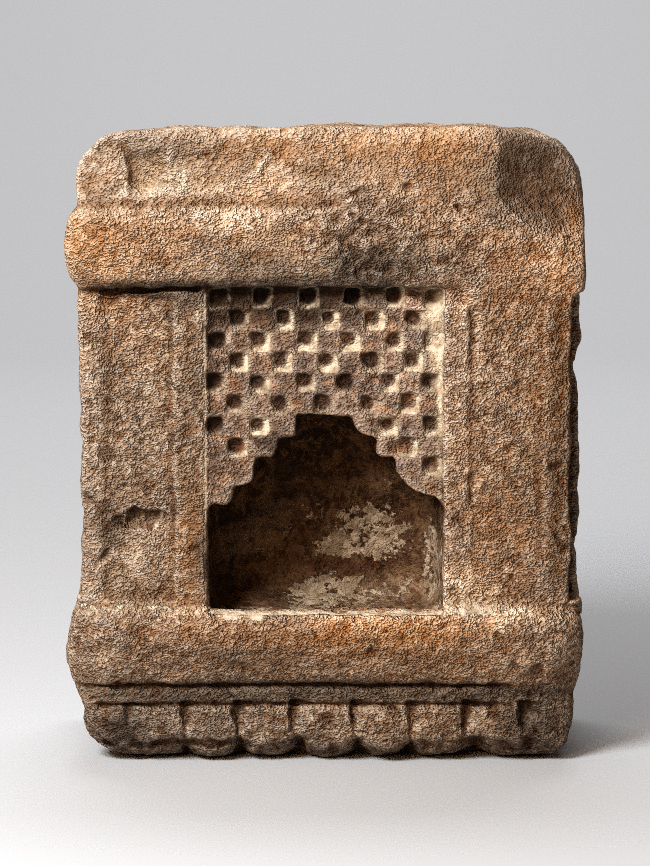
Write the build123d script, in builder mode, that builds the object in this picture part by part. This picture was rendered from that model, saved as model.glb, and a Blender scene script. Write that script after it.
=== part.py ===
"""Small niche shrine carved from a single block of red-brown sandstone.

Frame: +Z up, front towards -Y, origin under the middle of the block on the
plane it stands on. All sizes in millimetres.

The block is one piece of stone. From the ground up it is worked into a petal
course with scalloped notches, a narrow fillet, a swelling base course, a
shaft with a framed panel at each side of a recessed checkered screen, a
hollow lamp niche under a stepped arch, a projecting cornice course and a top
course. The back is dressed flat and the right flank keeps an unworked strip.
"""

import os

from build123d import *

# ---------------------------------------------------------------- sizes
BACK_Y = 75.0  # dressed back of the block
SHAFT_Y = -65.0  # face of the shaft's frame bands

# petal course
PETAL_TOP = 40.0
PETAL_X = (-160.0, 164.0)
PETAL_Y = -68.0
PETAL_CORNER_R = 20.0  # worn lower corners
PETAL_GROOVES_X = (-131.0, -92.5, -57.0, -21.0, 19.5, 58.5, 94.5, 132.0)
PETAL_GROOVE_W, PETAL_GROOVE_DEPTH = 5.0, 4.0
PETAL_GROOVE_Z = (13.0, 38.5)
NOTCHES_X = (-93.0, -57.0, -19.0, 20.5, 56.0, 94.5)
NOTCH_W, NOTCH_H, NOTCH_DEPTH = 12.0, 11.0, 13.0

# fillet band, with a cut line above and below it
FILLET_TOP = 54.0
FILLET_X = (-160.0, 164.0)
FILLET_Y = -68.0
CUT_LINE_X = (-152.0, 148.0)
CUT_LINE_H, CUT_LINE_DEPTH = 2.4, 3.5

# swelling base course
SWELL_TOP = 106.0
SWELL_X = 170.0
SWELL_Y = -75.0
SWELL_PLAN_R, SWELL_TOP_R, SWELL_UNDER_R = 14.0, 8.0, 5.0

# shaft
SHAFT_TOP = 318.5
SHAFT_X = 161.0
FLANK_X = 169.0  # unworked strip on the right flank
FLANK_FRONT_Y = -30.0
PANEL_DEPTH = 2.0
PANEL_Z = (110.0, 314.0)
LEFT_PANEL_X = (-144.5, -99.0)
RIGHT_PANEL_X = (96.0, 140.5)

# recessed screen: a checkerboard of sunk squares, eleven wide
SCREEN_X0, SCREEN_PITCH_X, SCREEN_COLS = -78.9, 14.16, 11
SCREEN_TOP, SCREEN_PITCH_Z = 317.5, 14.17
SCREEN_DEPTH = 6.0
SOCKET_W, SOCKET_DEPTH, SOCKET_TAPER = 11.8, 6.0, 12.0

# lamp niche behind the screen
SILL_Z, SILL_DEPTH = 105.0, 9.0
FLOOR_Z = 98.0  # floor of the niche, sunk behind the sill
NICHE_BACK_Y = 8.0
NICHE_TAPER = 9.0

# cornice and top course
CORNICE_TOP = 370.5
CORNICE_X = 168.0
CORNICE_Y = -73.0
CORNICE_PLAN_R, CORNICE_UNDER_R, CORNICE_TOP_R = 10.0, 5.0, 3.0
CROWN_TOP = 420.0
CROWN_X = (-160.5, 164.5)
CROWN_Y = -69.0
CROWN_LEFT_R, CROWN_RIGHT_R = 24.0, 34.0  # worn upper corners
CROWN_BEVEL_X, CROWN_BEVEL_DEPTH = 111.0, 27.0  # front of the right corner, broken off to a slant

# ---------------------------------------------------------------- helpers
SCREEN_Y = SHAFT_Y + SCREEN_DEPTH
SCREEN_X1 = SCREEN_X0 + SCREEN_PITCH_X * SCREEN_COLS


def col_x(k):
    """Left edge of column k of the checkerboard."""
    return SCREEN_X0 + SCREEN_PITCH_X * k


def row_z(k):
    """Top edge of row k of the checkerboard, counted downwards."""
    return SCREEN_TOP - SCREEN_PITCH_Z * k


def front_plane(y):
    """Plane square to the front, seen from behind it: local x is X, local y is -Z, and its normal runs into the stone."""
    return Plane(origin=(0, y, 0), x_dir=(1, 0, 0), z_dir=(0, 1, 0))


# The arch steps in by one square on each side at every row: 3, 5, 7, 9 and 11 squares wide.
ARCH_ROWS = [(6, 4, 7), (7, 3, 8), (8, 2, 9), (9, 1, 10)]

# ---------------------------------------------------------------- niche hollow, cut away below
sill_margin = SILL_Z - FLOOR_Z + (NICHE_BACK_Y - SCREEN_Y) * 0.2
with BuildPart() as niche_hollow:
    with BuildSketch(front_plane(SCREEN_Y - 0.5)) as niche_outline:
        with BuildLine() as niche_line:
            left, right = [], []
            for row, c0, c1 in ARCH_ROWS:
                left += [(col_x(c0), -row_z(row)), (col_x(c0), -row_z(row + 1))]
                right += [(col_x(c1), -row_z(row)), (col_x(c1), -row_z(row + 1))]
            low = -(SILL_Z - sill_margin)
            left += [(SCREEN_X0, -row_z(10)), (SCREEN_X0, low)]
            right += [(SCREEN_X1, -row_z(10)), (SCREEN_X1, low)]
            Polyline(*(left + right[::-1]), close=True)
        make_face()
    extrude(amount=NICHE_BACK_Y - SCREEN_Y + 0.5, taper=NICHE_TAPER)
    # The floor of the niche stays level from front to back, and the sill stands before it.
    split(bisect_by=Plane.XY.offset(FLOOR_Z), keep=Keep.TOP)
    with BuildSketch(Plane.XY.offset(FLOOR_Z - 1.0)):
        with Locations(((SCREEN_X0 + SCREEN_X1) / 2, SCREEN_Y + SILL_DEPTH / 2 - 1.0)):
            Rectangle(SCREEN_X1 - SCREEN_X0 + 4.0, SILL_DEPTH + 2.0)
    extrude(amount=SILL_Z - FLOOR_Z + 1.0, mode=Mode.SUBTRACT)

# ---------------------------------------------------------------- the block
with BuildPart() as shrine_block:
    # petal course, its lower corners worn round
    with BuildSketch(front_plane(PETAL_Y)):
        with BuildLine():
            FilletPolyline(
                (PETAL_X[0], -PETAL_TOP),
                (PETAL_X[0], 0),
                (PETAL_X[1], 0),
                (PETAL_X[1], -PETAL_TOP),
                radius=PETAL_CORNER_R,
            )
            Line((PETAL_X[1], -PETAL_TOP), (PETAL_X[0], -PETAL_TOP))
        make_face()
    extrude(amount=BACK_Y - PETAL_Y)

    # fillet band
    with BuildSketch(Plane.XY.offset(PETAL_TOP)):
        with Locations(((FILLET_X[0] + FILLET_X[1]) / 2, (FILLET_Y + BACK_Y) / 2)):
            Rectangle(FILLET_X[1] - FILLET_X[0], BACK_Y - FILLET_Y)
    extrude(amount=FILLET_TOP - PETAL_TOP)

    # swelling base course, rounded in plan and along its front and flanks
    with BuildSketch(Plane.XY.offset(FILLET_TOP)) as swell_plan:
        with Locations((0, (SWELL_Y + BACK_Y) / 2)):
            Rectangle(2 * SWELL_X, BACK_Y - SWELL_Y)
        fillet(swell_plan.vertices().group_by(Axis.Y)[0], SWELL_PLAN_R)
    extrude(amount=SWELL_TOP - FILLET_TOP)
    swell_rim = [
        e
        for e in shrine_block.edges().group_by(Axis.Z)[-1]
        if e.center().Y < BACK_Y - 0.01
    ]
    fillet(swell_rim, SWELL_TOP_R)
    swell_under = [
        e
        for e in shrine_block.edges()
        if abs(e.center().Z - FILLET_TOP) < 0.01
        and e.bounding_box().size.Z < 0.01
        and (abs(e.center().X) > SWELL_X - 6 or e.center().Y < SWELL_Y + 6)
        and e.center().Y < BACK_Y - 0.01
    ]
    fillet(swell_under, SWELL_UNDER_R)

    # shaft, with the unworked strip left standing on its right flank
    with BuildSketch(Plane.XY.offset(SWELL_TOP)):
        with BuildLine():
            Polyline(
                (-SHAFT_X, SHAFT_Y),
                (SHAFT_X, SHAFT_Y),
                (SHAFT_X, FLANK_FRONT_Y),
                (FLANK_X, FLANK_FRONT_Y + 6.0),
                (FLANK_X, BACK_Y),
                (-SHAFT_X, BACK_Y),
                close=True,
            )
        make_face()
    extrude(amount=SHAFT_TOP - SWELL_TOP)

    # cornice course
    with BuildSketch(Plane.XY.offset(SHAFT_TOP)) as cornice_plan:
        with Locations((0, (CORNICE_Y + BACK_Y) / 2)):
            Rectangle(2 * CORNICE_X, BACK_Y - CORNICE_Y)
        fillet(cornice_plan.vertices().group_by(Axis.Y)[0], CORNICE_PLAN_R)
    extrude(amount=CORNICE_TOP - SHAFT_TOP)
    cornice_rim = [
        e
        for e in shrine_block.edges().group_by(Axis.Z)[-1]
        if e.center().Y < BACK_Y - 0.01
    ]
    fillet(cornice_rim, CORNICE_TOP_R)
    cornice_under = [
        e
        for e in shrine_block.edges()
        if abs(e.center().Z - SHAFT_TOP) < 0.01
        and e.bounding_box().size.Z < 0.01
        and e.center().Y < CORNICE_Y + 5
    ]
    fillet(cornice_under, CORNICE_UNDER_R)

    # top course, its upper corners worn round
    with BuildSketch(front_plane(CROWN_Y)) as crown_front:
        with Locations(((CROWN_X[0] + CROWN_X[1]) / 2, -(CORNICE_TOP + CROWN_TOP) / 2)):
            Rectangle(CROWN_X[1] - CROWN_X[0], CROWN_TOP - CORNICE_TOP)
        fillet(crown_front.vertices().sort_by(Axis.Y)[:2].sort_by(Axis.X)[0], CROWN_LEFT_R)
        fillet(crown_front.vertices().sort_by(Axis.X)[-2:].sort_by(Axis.Y)[0], CROWN_RIGHT_R)
    extrude(amount=BACK_Y - CROWN_Y)

    # slant where the front of the top course's right corner is broken off
    with BuildSketch(Plane.XY.offset(CORNICE_TOP)):
        with BuildLine():
            Polyline(
                (CROWN_BEVEL_X, CROWN_Y - 0.001),
                (CROWN_X[1] + 4.0, CROWN_Y - 0.001),
                (CROWN_X[1] + 4.0, CROWN_Y + CROWN_BEVEL_DEPTH),
                close=True,
            )
        make_face()
    extrude(amount=CROWN_TOP - CORNICE_TOP + 1.0, mode=Mode.SUBTRACT)

    # framed panels of the shaft
    with BuildSketch(front_plane(SHAFT_Y)):
        for x0, x1 in (LEFT_PANEL_X, RIGHT_PANEL_X):
            with Locations(((x0 + x1) / 2, -(PANEL_Z[0] + PANEL_Z[1]) / 2)):
                Rectangle(x1 - x0, PANEL_Z[1] - PANEL_Z[0])
    extrude(amount=PANEL_DEPTH, mode=Mode.SUBTRACT)

    # recess of the screen, open below into the niche
    with BuildSketch(front_plane(SHAFT_Y)):
        with Locations(((SCREEN_X0 + SCREEN_X1) / 2, -(SILL_Z + SCREEN_TOP) / 2)):
            Rectangle(SCREEN_X1 - SCREEN_X0, SCREEN_TOP - SILL_Z)
    extrude(amount=SCREEN_DEPTH, mode=Mode.SUBTRACT)

    # sunk squares of the screen
    sockets = []
    for row in range(9):
        for col in range(row % 2, SCREEN_COLS, 2):
            if any(row == r and c0 <= col < c1 for r, c0, c1 in ARCH_ROWS):
                continue
            sockets.append((col_x(col + 0.5), -row_z(row + 0.5)))
    with BuildSketch(front_plane(SCREEN_Y)):
        with Locations(*sockets):
            Rectangle(SOCKET_W, SOCKET_W)
    extrude(amount=SOCKET_DEPTH, taper=SOCKET_TAPER, mode=Mode.SUBTRACT)

    # the lamp niche
    add(niche_hollow.part, mode=Mode.SUBTRACT)

    # cut lines above and below the fillet band
    with BuildSketch(front_plane(SWELL_Y)):
        for z in (FILLET_TOP, PETAL_TOP):
            with Locations(((CUT_LINE_X[0] + CUT_LINE_X[1]) / 2, -(z - CUT_LINE_H / 2))):
                Rectangle(CUT_LINE_X[1] - CUT_LINE_X[0], CUT_LINE_H)
    extrude(amount=FILLET_Y + CUT_LINE_DEPTH - SWELL_Y, mode=Mode.SUBTRACT)

    # grooves between the petals
    with BuildSketch(Plane.XY.offset(PETAL_GROOVE_Z[0])):
        for x in PETAL_GROOVES_X:
            with BuildLine():
                Polyline(
                    (x - PETAL_GROOVE_W / 2, PETAL_Y),
                    (x, PETAL_Y + PETAL_GROOVE_DEPTH),
                    (x + PETAL_GROOVE_W / 2, PETAL_Y),
                    close=True,
                )
            make_face()
    extrude(amount=PETAL_GROOVE_Z[1] - PETAL_GROOVE_Z[0], mode=Mode.SUBTRACT)

    # notches that scallop the lower front edge
    with BuildSketch(front_plane(PETAL_Y)):
        for x in NOTCHES_X:
            with BuildLine():
                Polyline(
                    (x - NOTCH_W / 2, 0),
                    (x, -NOTCH_H),
                    (x + NOTCH_W / 2, 0),
                    close=True,
                )
            make_face()
    extrude(amount=NOTCH_DEPTH, mode=Mode.SUBTRACT)

# ---------------------------------------------------------------- write out
shrine_block.part.label = "shrine_block"
os.makedirs("parts", exist_ok=True)
export_step(shrine_block.part, "parts/shrine_block.step")
box = shrine_block.part.bounding_box()
print("solids", len(shrine_block.part.solids()), "volume_l", shrine_block.part.volume / 1e6)
print("box", box.min, box.max, "sockets", len(sockets))
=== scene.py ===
"""Looks of a small niche shrine carved from one block of weathered red-brown sandstone.

The block's worn surface is made as one closed mesh: its shape is written as a
field of distances on a grid, the surface is taken out of that field, and the
stone's own roughness is added to it. Colours follow measures kept on the mesh,
such as how hollow a place is and how much lime wash is left there.
"""

import math

import bpy
import numpy as np
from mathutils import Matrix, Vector


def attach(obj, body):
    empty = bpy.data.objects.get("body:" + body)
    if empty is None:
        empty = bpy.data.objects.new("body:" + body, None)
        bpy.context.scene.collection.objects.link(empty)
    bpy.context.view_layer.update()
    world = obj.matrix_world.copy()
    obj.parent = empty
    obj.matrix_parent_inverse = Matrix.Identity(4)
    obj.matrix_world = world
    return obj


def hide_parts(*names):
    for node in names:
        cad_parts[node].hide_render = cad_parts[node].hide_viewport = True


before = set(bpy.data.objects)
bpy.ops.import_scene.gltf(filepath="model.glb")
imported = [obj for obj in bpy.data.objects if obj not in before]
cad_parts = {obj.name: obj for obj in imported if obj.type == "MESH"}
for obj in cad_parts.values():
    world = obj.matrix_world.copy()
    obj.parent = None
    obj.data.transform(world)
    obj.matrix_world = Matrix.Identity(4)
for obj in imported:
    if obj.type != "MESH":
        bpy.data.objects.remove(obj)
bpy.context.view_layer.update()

# ------------------------------------------------------------------ picture frame and camera
FRAME_W, FRAME_H = 650, 866
FOCAL_PX = 2769.0  # focal length in pixels of that frame
TILT = math.radians(7.815)  # the camera looks down by this much
DIST, EYE = 1800.0, 469.0  # camera before the shaft's face and above the ground, mm
SHAFT_Y = -65.0  # face of the shaft, mm


def at(u, v, depth=0.0):
    """x and z, in mm, of the spot that (u, v) of the picture frame shows on the plane `depth` mm behind the shaft's face."""
    a = np.asarray(u, float) - FRAME_W / 2
    b = FRAME_H / 2 - np.asarray(v, float)
    dy = math.cos(TILT) * FOCAL_PX + math.sin(TILT) * b
    dz = -math.sin(TILT) * FOCAL_PX + math.cos(TILT) * b
    t = (depth + DIST) / dy
    return a * t, EYE + dz * t


def seen(x, z, depth=0.0):
    """The reverse of at(): where the picture frame shows a spot of that plane."""
    dy, dz = DIST + depth, z - EYE
    w = dy * math.cos(TILT) - dz * math.sin(TILT)
    h = dy * math.sin(TILT) + dz * math.cos(TILT)
    return FRAME_W / 2 + FOCAL_PX * x / w, FRAME_H / 2 - FOCAL_PX * h / w


# ------------------------------------------------------------------ small helpers
def ramp(x, a, b):
    """0 below a, 1 above b, smooth between."""
    t = np.clip((x - a) / (b - a), 0.0, 1.0)
    return t * t * (3 - 2 * t)


def smax(a, b, k):
    """Larger of the two, with the corner between them rounded over k."""
    h = np.maximum(k - np.abs(a - b), 0.0) / k
    return np.maximum(a, b) + h * h * (k * 0.25)


def row(*pieces):
    """Grid lines: pieces are (start, stop, step)."""
    out = [np.arange(a, b - 1e-6, s) for a, b, s in pieces]
    return np.concatenate(out + [[pieces[-1][1]]]).astype(np.float32)


def weights(coords, cell, shift):
    """Cubic B-spline weights that spread a coarse row of values over the coordinates."""
    t = (coords - coords[0]) / cell + shift
    i = np.floor(t).astype(int)
    f = t - i
    m = np.zeros((len(coords), i.max() + 4), np.float32)
    r = np.arange(len(coords))
    m[r, i] = (1 - f) ** 3 / 6
    m[r, i + 1] = (3 * f**3 - 6 * f**2 + 4) / 6
    m[r, i + 2] = (-3 * f**3 + 3 * f**2 + 3 * f + 1) / 6
    m[r, i + 3] = f**3 / 6
    return m


def noise_grid(axes, cell, seed):
    """Smooth noise of unit spread on the grid of two or three axes; cell is its grain in mm."""
    r = np.random.default_rng(seed)
    ms = [weights(a, cell, r.random()) for a in axes]
    out = r.standard_normal([m.shape[1] for m in ms]).astype(np.float32)
    out /= 0.32 if len(axes) == 2 else 0.2
    out *= 0.66 if len(axes) == 2 else 0.62
    for k, m in enumerate(ms):
        out = np.moveaxis(np.tensordot(m, out, (1, k)), 0, k)
    return out


LATTICE = np.random.default_rng(90).standard_normal((64, 64, 64)).astype(np.float32)


def turn(ax, ay, az):
    cx, sx, cy, sy, cz, sz = (
        math.cos(ax), math.sin(ax), math.cos(ay), math.sin(ay), math.cos(az), math.sin(az),
    )
    rx = np.array([[1, 0, 0], [0, cx, -sx], [0, sx, cx]])
    ry = np.array([[cy, 0, sy], [0, 1, 0], [-sy, 0, cy]])
    rz = np.array([[cz, -sz, 0], [sz, cz, 0], [0, 0, 1]])
    return rz @ ry @ rx


def noise_at(p, cell, seed, stretch=(1, 1, 1), tilt=0.0):
    """Noise of about unit spread at the points p (mm). stretch lengthens its grains along x, y, z after a turn of tilt about y."""
    q = p @ turn(0.0, tilt, 0.0).T if tilt else p
    q = q / (np.asarray(stretch, float) * cell)
    q = q @ turn(0.3 + seed * 0.71, 0.2 + seed * 0.37, 0.5 + seed * 0.53).T if tilt == 0 else q
    q = q + np.array([seed * 7.31, seed * 3.77, seed * 5.13])
    i = np.floor(q).astype(np.int64)
    f = (q - i).astype(np.float32)
    f = f * f * f * (f * (f * 6 - 15) + 10)
    out = 0.0
    for a in (0, 1):
        wa = f[:, 0] if a else 1 - f[:, 0]
        for b in (0, 1):
            wb = f[:, 1] if b else 1 - f[:, 1]
            for c in (0, 1):
                wc = f[:, 2] if c else 1 - f[:, 2]
                out = out + wa * wb * wc * LATTICE[(i[:, 0] + a) & 63, (i[:, 1] + b) & 63, (i[:, 2] + c) & 63]
    return out * 1.5


def poly_sd(pts, x, z):
    """Signed distance to a closed outline in x and z, negative inside."""
    d2 = np.full(np.broadcast(x, z).shape, 1e12)
    inside = np.zeros(d2.shape, bool)
    n = len(pts)
    for k in range(n):
        (x0, z0), (x1, z1) = pts[k], pts[(k + 1) % n]
        ex, ez = x1 - x0, z1 - z0
        wx, wz = x - x0, z - z0
        t = np.clip((wx * ex + wz * ez) / (ex * ex + ez * ez + 1e-9), 0, 1)
        d2 = np.minimum(d2, (wx - ex * t) ** 2 + (wz - ez * t) ** 2)
        if abs(ez) > 1e-9:
            inside ^= ((z0 <= z) != (z1 <= z)) & (x < x0 + (z - z0) * ex / ez)
    d = np.sqrt(d2)
    return np.where(inside, -d, d)


def px_poly(points, depth):
    return [tuple(float(c) for c in at(u, v, depth)) for u, v in points]


# ------------------------------------------------------------------ grid
XS = row((-178, -88, 1.5), (-88, 88, 1.1), (88, 178, 1.5))
YS = row((-84, -44, 1.15), (-44, 84, 2.2))
ZS = row((-6, 35, 1.45), (35, 58, 0.85), (58, 98, 1.45), (98, 112, 0.95), (112, 166, 1.45), (166, 322, 1.1), (322, 430, 1.45))
X2, Z2 = XS[:, None], ZS[None, :]

# Edges of carved features wander a little, as hand-cut and worn ones do.
WARP_X = 0.55 * noise_grid((XS, ZS), 9.0, 11) + 0.3 * noise_grid((XS, ZS), 4.2, 12)
WARP_Z = 0.55 * noise_grid((XS, ZS), 9.0, 13) + 0.3 * noise_grid((XS, ZS), 4.2, 14)
XW, ZW = X2 + WARP_X, Z2 + WARP_Z


def blur(a, s):
    def m(c):
        w = np.exp(-0.5 * ((c[:, None] - c[None, :]) / s) ** 2) * np.gradient(c)[None, :]
        return (w / w.sum(1, keepdims=True)).astype(np.float32)

    return m(XS) @ a.astype(np.float32) @ m(ZS).T


def pit(u, v, ru, rv, depth, angle=0.0, power=2.0, plane=0.0, wob=1.0):
    """A hollow at a spot of the picture frame; ru and rv are its half width and height in that frame's pixels."""
    cx, cz = at(u, v, plane)
    dx, dz = X2 + wob * 2.2 * WARP_X - cx, Z2 + wob * 2.2 * WARP_Z - cz
    c, s = math.cos(angle), math.sin(angle)
    a, b = (dx * c + dz * s) / (ru * 0.655), (-dx * s + dz * c) / (rv * 0.655)
    return depth * np.exp(-((a * a + b * b) ** (power / 2)))


def facet(points, plane, base, du=0.0, dv=0.0, soft=1.0):
    """A broken-away patch: an outline in the picture frame, its depth at the outline's first point, and how the depth changes for each pixel across and down."""
    poly = px_poly(points, plane)
    sd = poly_sd(poly, XW + WARP_X, ZW + WARP_Z)
    x0, z0 = poly[0]
    depth = base + du * (X2 - x0) / 0.655 - dv * (Z2 - z0) / 0.655
    return np.maximum(depth, 0) * ramp(-sd, -soft, soft)


# ------------------------------------------------------------------ front relief
# P is how far the front lies behind (+) or before (-) the shaft's face, in mm.
PROFILE_LEFT = [
    (-6, 22), (0, 12), (2, 8.5), (5, 4.4), (9, 0.8), (13, -1.4), (18, -2.6), (24, -3.2), (36.6, -3.3), (38.6, -2.7), (39.5, -0.4), (40.5, -0.4),
    (41.6, -2.6), (45, -3.4), (49.8, -3.5), (51.0, -1.6), (51.8, 1.9), (53.5, 2.1), (54.6, -2.4), (57.4, -4.6), (63, -7.0),
    (72, -9.4), (82, -10.2), (92, -9.8), (98, -8.4), (102, -6.0), (105, -3.0), (107.5, -0.8), (111, 0),
    (308, 0), (312.6, 0.2), (314.0, 1.2), (317.4, 1.2), (318.8, -1.6), (321, -3.9), (325, -6.2), (330, -7.7), (337, -8.7),
    (350, -8.6), (360, -8.3), (365, -7.6), (368.5, -6.0), (371, -4.3), (374, -3.7), (384, -3.9), (404, -3.8),
    (413, -3.7), (417.5, -2.9), (420, -1.2), (430, 5),
]
PROFILE_RIGHT = [
    (-6, 22), (0, 12), (2, 8.5), (5, 4.4), (9, 0.8), (13, -1.4), (18, -2.6), (24, -3.2), (36.6, -3.3), (38.6, -2.7), (39.5, -0.4), (40.5, -0.4),
    (41.6, -2.6), (45, -3.4), (49.8, -3.5), (51.0, -1.6), (51.8, 1.9), (53.5, 2.1), (54.6, -2.4), (57.4, -4.6), (63, -7.0),
    (72, -9.4), (82, -10.2), (92, -9.8), (98, -8.4), (102, -6.0), (105, -3.0), (107.5, -0.8), (111, 0),
    (292, 0), (302, -0.5), (310, -1.4), (317, -2.8), (324, -4.5), (333, -6.3),
    (347, -7.6), (364, -7.2), (378, -6.2), (392, -5.2), (404, -4.4), (413, -3.9), (417.5, -2.9), (420, -1.2), (430, 5),
]
zl, pl = np.array(PROFILE_LEFT, float).T
zr, pr = np.array(PROFILE_RIGHT, float).T
waver = noise_grid((XS, np.array([0.0, 1.0], np.float32)), 17.0, 15)[:, :1] * 1.5 + noise_grid((XS, np.array([0.0, 1.0], np.float32)), 7.0, 16)[:, :1] * 0.8
waver = waver * ramp(Z2, 300, 314) * (1 - ramp(Z2, 330, 345))
# the petals end in lobes: between two of them the lower edge rises
NOTCHES = ((183.5, 8.0), (241, 12.0), (298, 11.0), (357.5, 14.5), (411, 12.0), (473, 10.5))
lobe = 0.0
for u, h in NOTCHES:
    xn, _ = at(u, 756, -3)
    lobe = np.maximum(lobe, h * np.exp(-np.abs((X2 + 1.5 * WARP_X - xn) / (12.0 if u > 460 else 7.0)) ** 1.3))
lobe = lobe * (1 - ramp(Z2, 12, 26))
steady = 0.30 + 0.50 * ramp(np.abs(Z2 - 48), 12, 22)
left_p = np.interp(Z2 + steady * WARP_Z + waver - lobe, zl, pl)
right_p = np.interp(Z2 + steady * WARP_Z + waver - lobe, zr, pr)
upper = ramp(Z2, 344, 352)
mix = ramp(X2, 70, 100) * (1 - upper) + ramp(X2 + 6 * WARP_X, -8, 30) * upper
P = left_p * (1 - mix) + right_p * mix
# at the right the base is worn to one surface, and the two cut lines fade out there
ze, pe = np.array([(-6, 22), (0, 12), (2, 8.5), (5, 4.4), (9, 0.8), (13, -1.4), (18, -2.4), (30, -2.8), (40, -2.6), (48, -3.4), (55, -4.8), (63, -7.0), (72, -9.4)], float).T
end_p = np.interp(Z2 + 0.8 * WARP_Z - lobe, ze, pe)
worn_end = ramp(X2 + 5 * WARP_X, 104, 134) * (1 - ramp(Z2, 60, 70))
P = P * (1 - worn_end) + end_p * worn_end
ends = 1 - ramp(X2, -156, -148) * (1 - ramp(X2, 112, 134))
for zc in (40.0, 52.7):
    P = P - ends * (1 - worn_end) * 3.4 * np.exp(-(((Z2 - zc) / 1.8) ** 2))
patchy = np.clip(0.75 + 0.7 * noise_grid((XS, np.array([0.0, 1.0], np.float32)), 26.0, 17)[:, :1], 0.1, 1.5)
P = P + (1 - ends) * 1.7 * patchy * np.exp(-(((Z2 + 0.5 * WARP_Z - 40.2) / 1.5) ** 2))
P = blur(P, 0.55)

# deep line under the left of the cornice
slot = ramp(X2 + 2 * WARP_X, -156, -138) * (1 - ramp(X2 + 3 * WARP_X, -84, -78))
P = P + 4.4 * slot * ramp(Z2 + waver + 0.4 * WARP_Z, 314.4, 315.6) * (1 - ramp(Z2 + waver + 0.4 * WARP_Z, 317.4, 318.6))

# framed panels of the shaft
shaft = ramp(Z2, 108, 113) * (1 - ramp(Z2, 310, 315))
band = lambda x0, x1, s: ramp(XW, x0 - s, x0 + s) * (1 - ramp(XW, x1 - s, x1 + s))
P = P + shaft * 3.0 * ramp(XW, -151, -141) * (1 - ramp(XW, -101.2, -97.6))
worn_line = np.clip(0.95 + 0.45 * noise_grid((np.array([0.0, 1.0], np.float32), ZS), 17.0, 18)[:1], 0.45, 1.5)
P = P + shaft * (1 - ramp(Z2, 284, 312)) * 1.0 * band(96.5, 140.0, 2.0)
P = P + shaft * 2.7 * worn_line * np.exp(-(((X2 + 0.6 * WARP_X - 95.6) / 1.9) ** 2)) * ramp(Z2, 168, 178) * (1 - ramp(Z2, 296, 312))
P = P + shaft * 1.9 * worn_line * np.exp(-(((X2 + 0.6 * WARP_X - 141.4) / 1.9) ** 2)) * ramp(Z2, 128, 145) * (1 - ramp(Z2, 292, 312))
P = P + ramp(Z2, 108, 113) * (1 - ramp(Z2, 306, 336)) * 2.6 * ramp(X2, 146, 166)

# smooth bevelled face at the upper right: it falls back from a crease that runs down, then off to the right
UB, VB = seen(X2 + 0.7 * WARP_X, Z2 + 1.3 * WARP_Z, 2)
past = (UB - 494.5 - 0.95 * np.maximum(VB - 194, 0)) * 0.655
past = np.where(past > 0, np.sqrt(past**2 + 2.2) - 1.483, 0)
BEVEL = ramp(past, 0.0, 2.6) * (1 - ramp(VB, 190, 262))
P = P + (0.52 * past + 0.25 * ramp(past, 0, 1.2)) * (1 - ramp(VB, 196, 286))
# the cornice's own ends fall back
P = P + 0.16 * np.maximum(-X2 - 140, 0) ** 1.3 * ramp(Z2, 316, 322) * 0.35
P = P + 0.16 * np.maximum(X2 - 140, 0) * ramp(Z2, 300, 332) * (1 - ramp(Z2, 336, 356))
# ends of the base courses fall back
P = P + 0.02 * np.maximum(np.abs(X2) - 138, 0) ** 2 * (1 - ramp(Z2, 104, 112)) * 0.55

# petals: grooves that are wider at the top, and a broken ledge under them
for u, top, low, w, d in (
    (127.5, 704, 722, 4.2, 4.0), (184.5, 703, 739, 4.6, 5.0), (238, 702, 737, 5.6, 6.6), (293.5, 702, 734, 5.2, 5.6),
    (354.5, 702, 737, 4.8, 5.2), (411.5, 702, 734, 5.8, 5.0), (466.5, 701, 736, 5.0, 6.4), (523.5, 703, 731, 5.0, 6.0),
):
    xg, zt = at(u, top, -3)
    _, zb = at(u, low, -3)
    open_ = 0.35 + 0.65 * ramp(Z2, zb + 2, zt - 4)
    off = XW - xg + (zt - Z2) * 0.03
    w = w * 1.42
    shape = np.where(off < 0, np.exp(-np.abs(off / (0.42 * w * open_)) ** 3), np.exp(-np.abs(off / (1.0 * w * open_)) ** 1.6))
    P = P + 1.2 * d * shape * (0.42 + 0.58 * ramp(Z2, zb, zt - 6)) * ramp(Z2, zb - 4, zb + 4) * (1 - ramp(Z2, zt - 0.5, zt + 2.0))
# each petal face is slightly crowned and its lower end turns under
for u0, u1, lift in ((135, 184, 0.6), (190, 237, 1.0), (243, 291, 1.0), (298, 352, 1.1), (357, 410, 1.0), (417, 465, 1.1), (471, 522, 1.2)):
    x0, _ = at(u0, 720, -3)
    x1, _ = at(u1, 720, -3)
    t = np.clip((X2 - x0) / (x1 - x0), 0, 1)
    P = P - 0.6 * lift * np.sqrt(np.maximum(4 * t * (1 - t), 0)) * ramp(Z2, 6, 16) * (1 - ramp(Z2, 36, 39))
P = P + (1.5 * noise_grid((XS, ZS), 10.0, 33) + 0.9 * noise_grid((XS, ZS), 5.0, 34)) * (1 - ramp(Z2, 12, 23))
P = P + facet([(148, 739), (240, 737), (244, 746), (150, 748)], -3, 3.2, soft=1.4)
P = P + facet([(243, 731), (262, 728), (292, 731), (288, 738), (250, 739)], -3, 1.6, soft=1.2)
P = P + facet([(420, 742), (470, 738), (520, 744), (515, 755), (440, 752)], -3, 2.0, soft=2.4)
P = P - pit(119, 716, 7, 7, 2.2, power=3, plane=-3) + pit(110, 727, 9, 7, 1.6, plane=-3) + pit(140, 745, 16, 5, 2.0, plane=-3)
P = P + facet([(87, 722), (99, 736), (110, 750), (86, 748), (80, 728)], -3, 3.5, soft=2.0)

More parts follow.
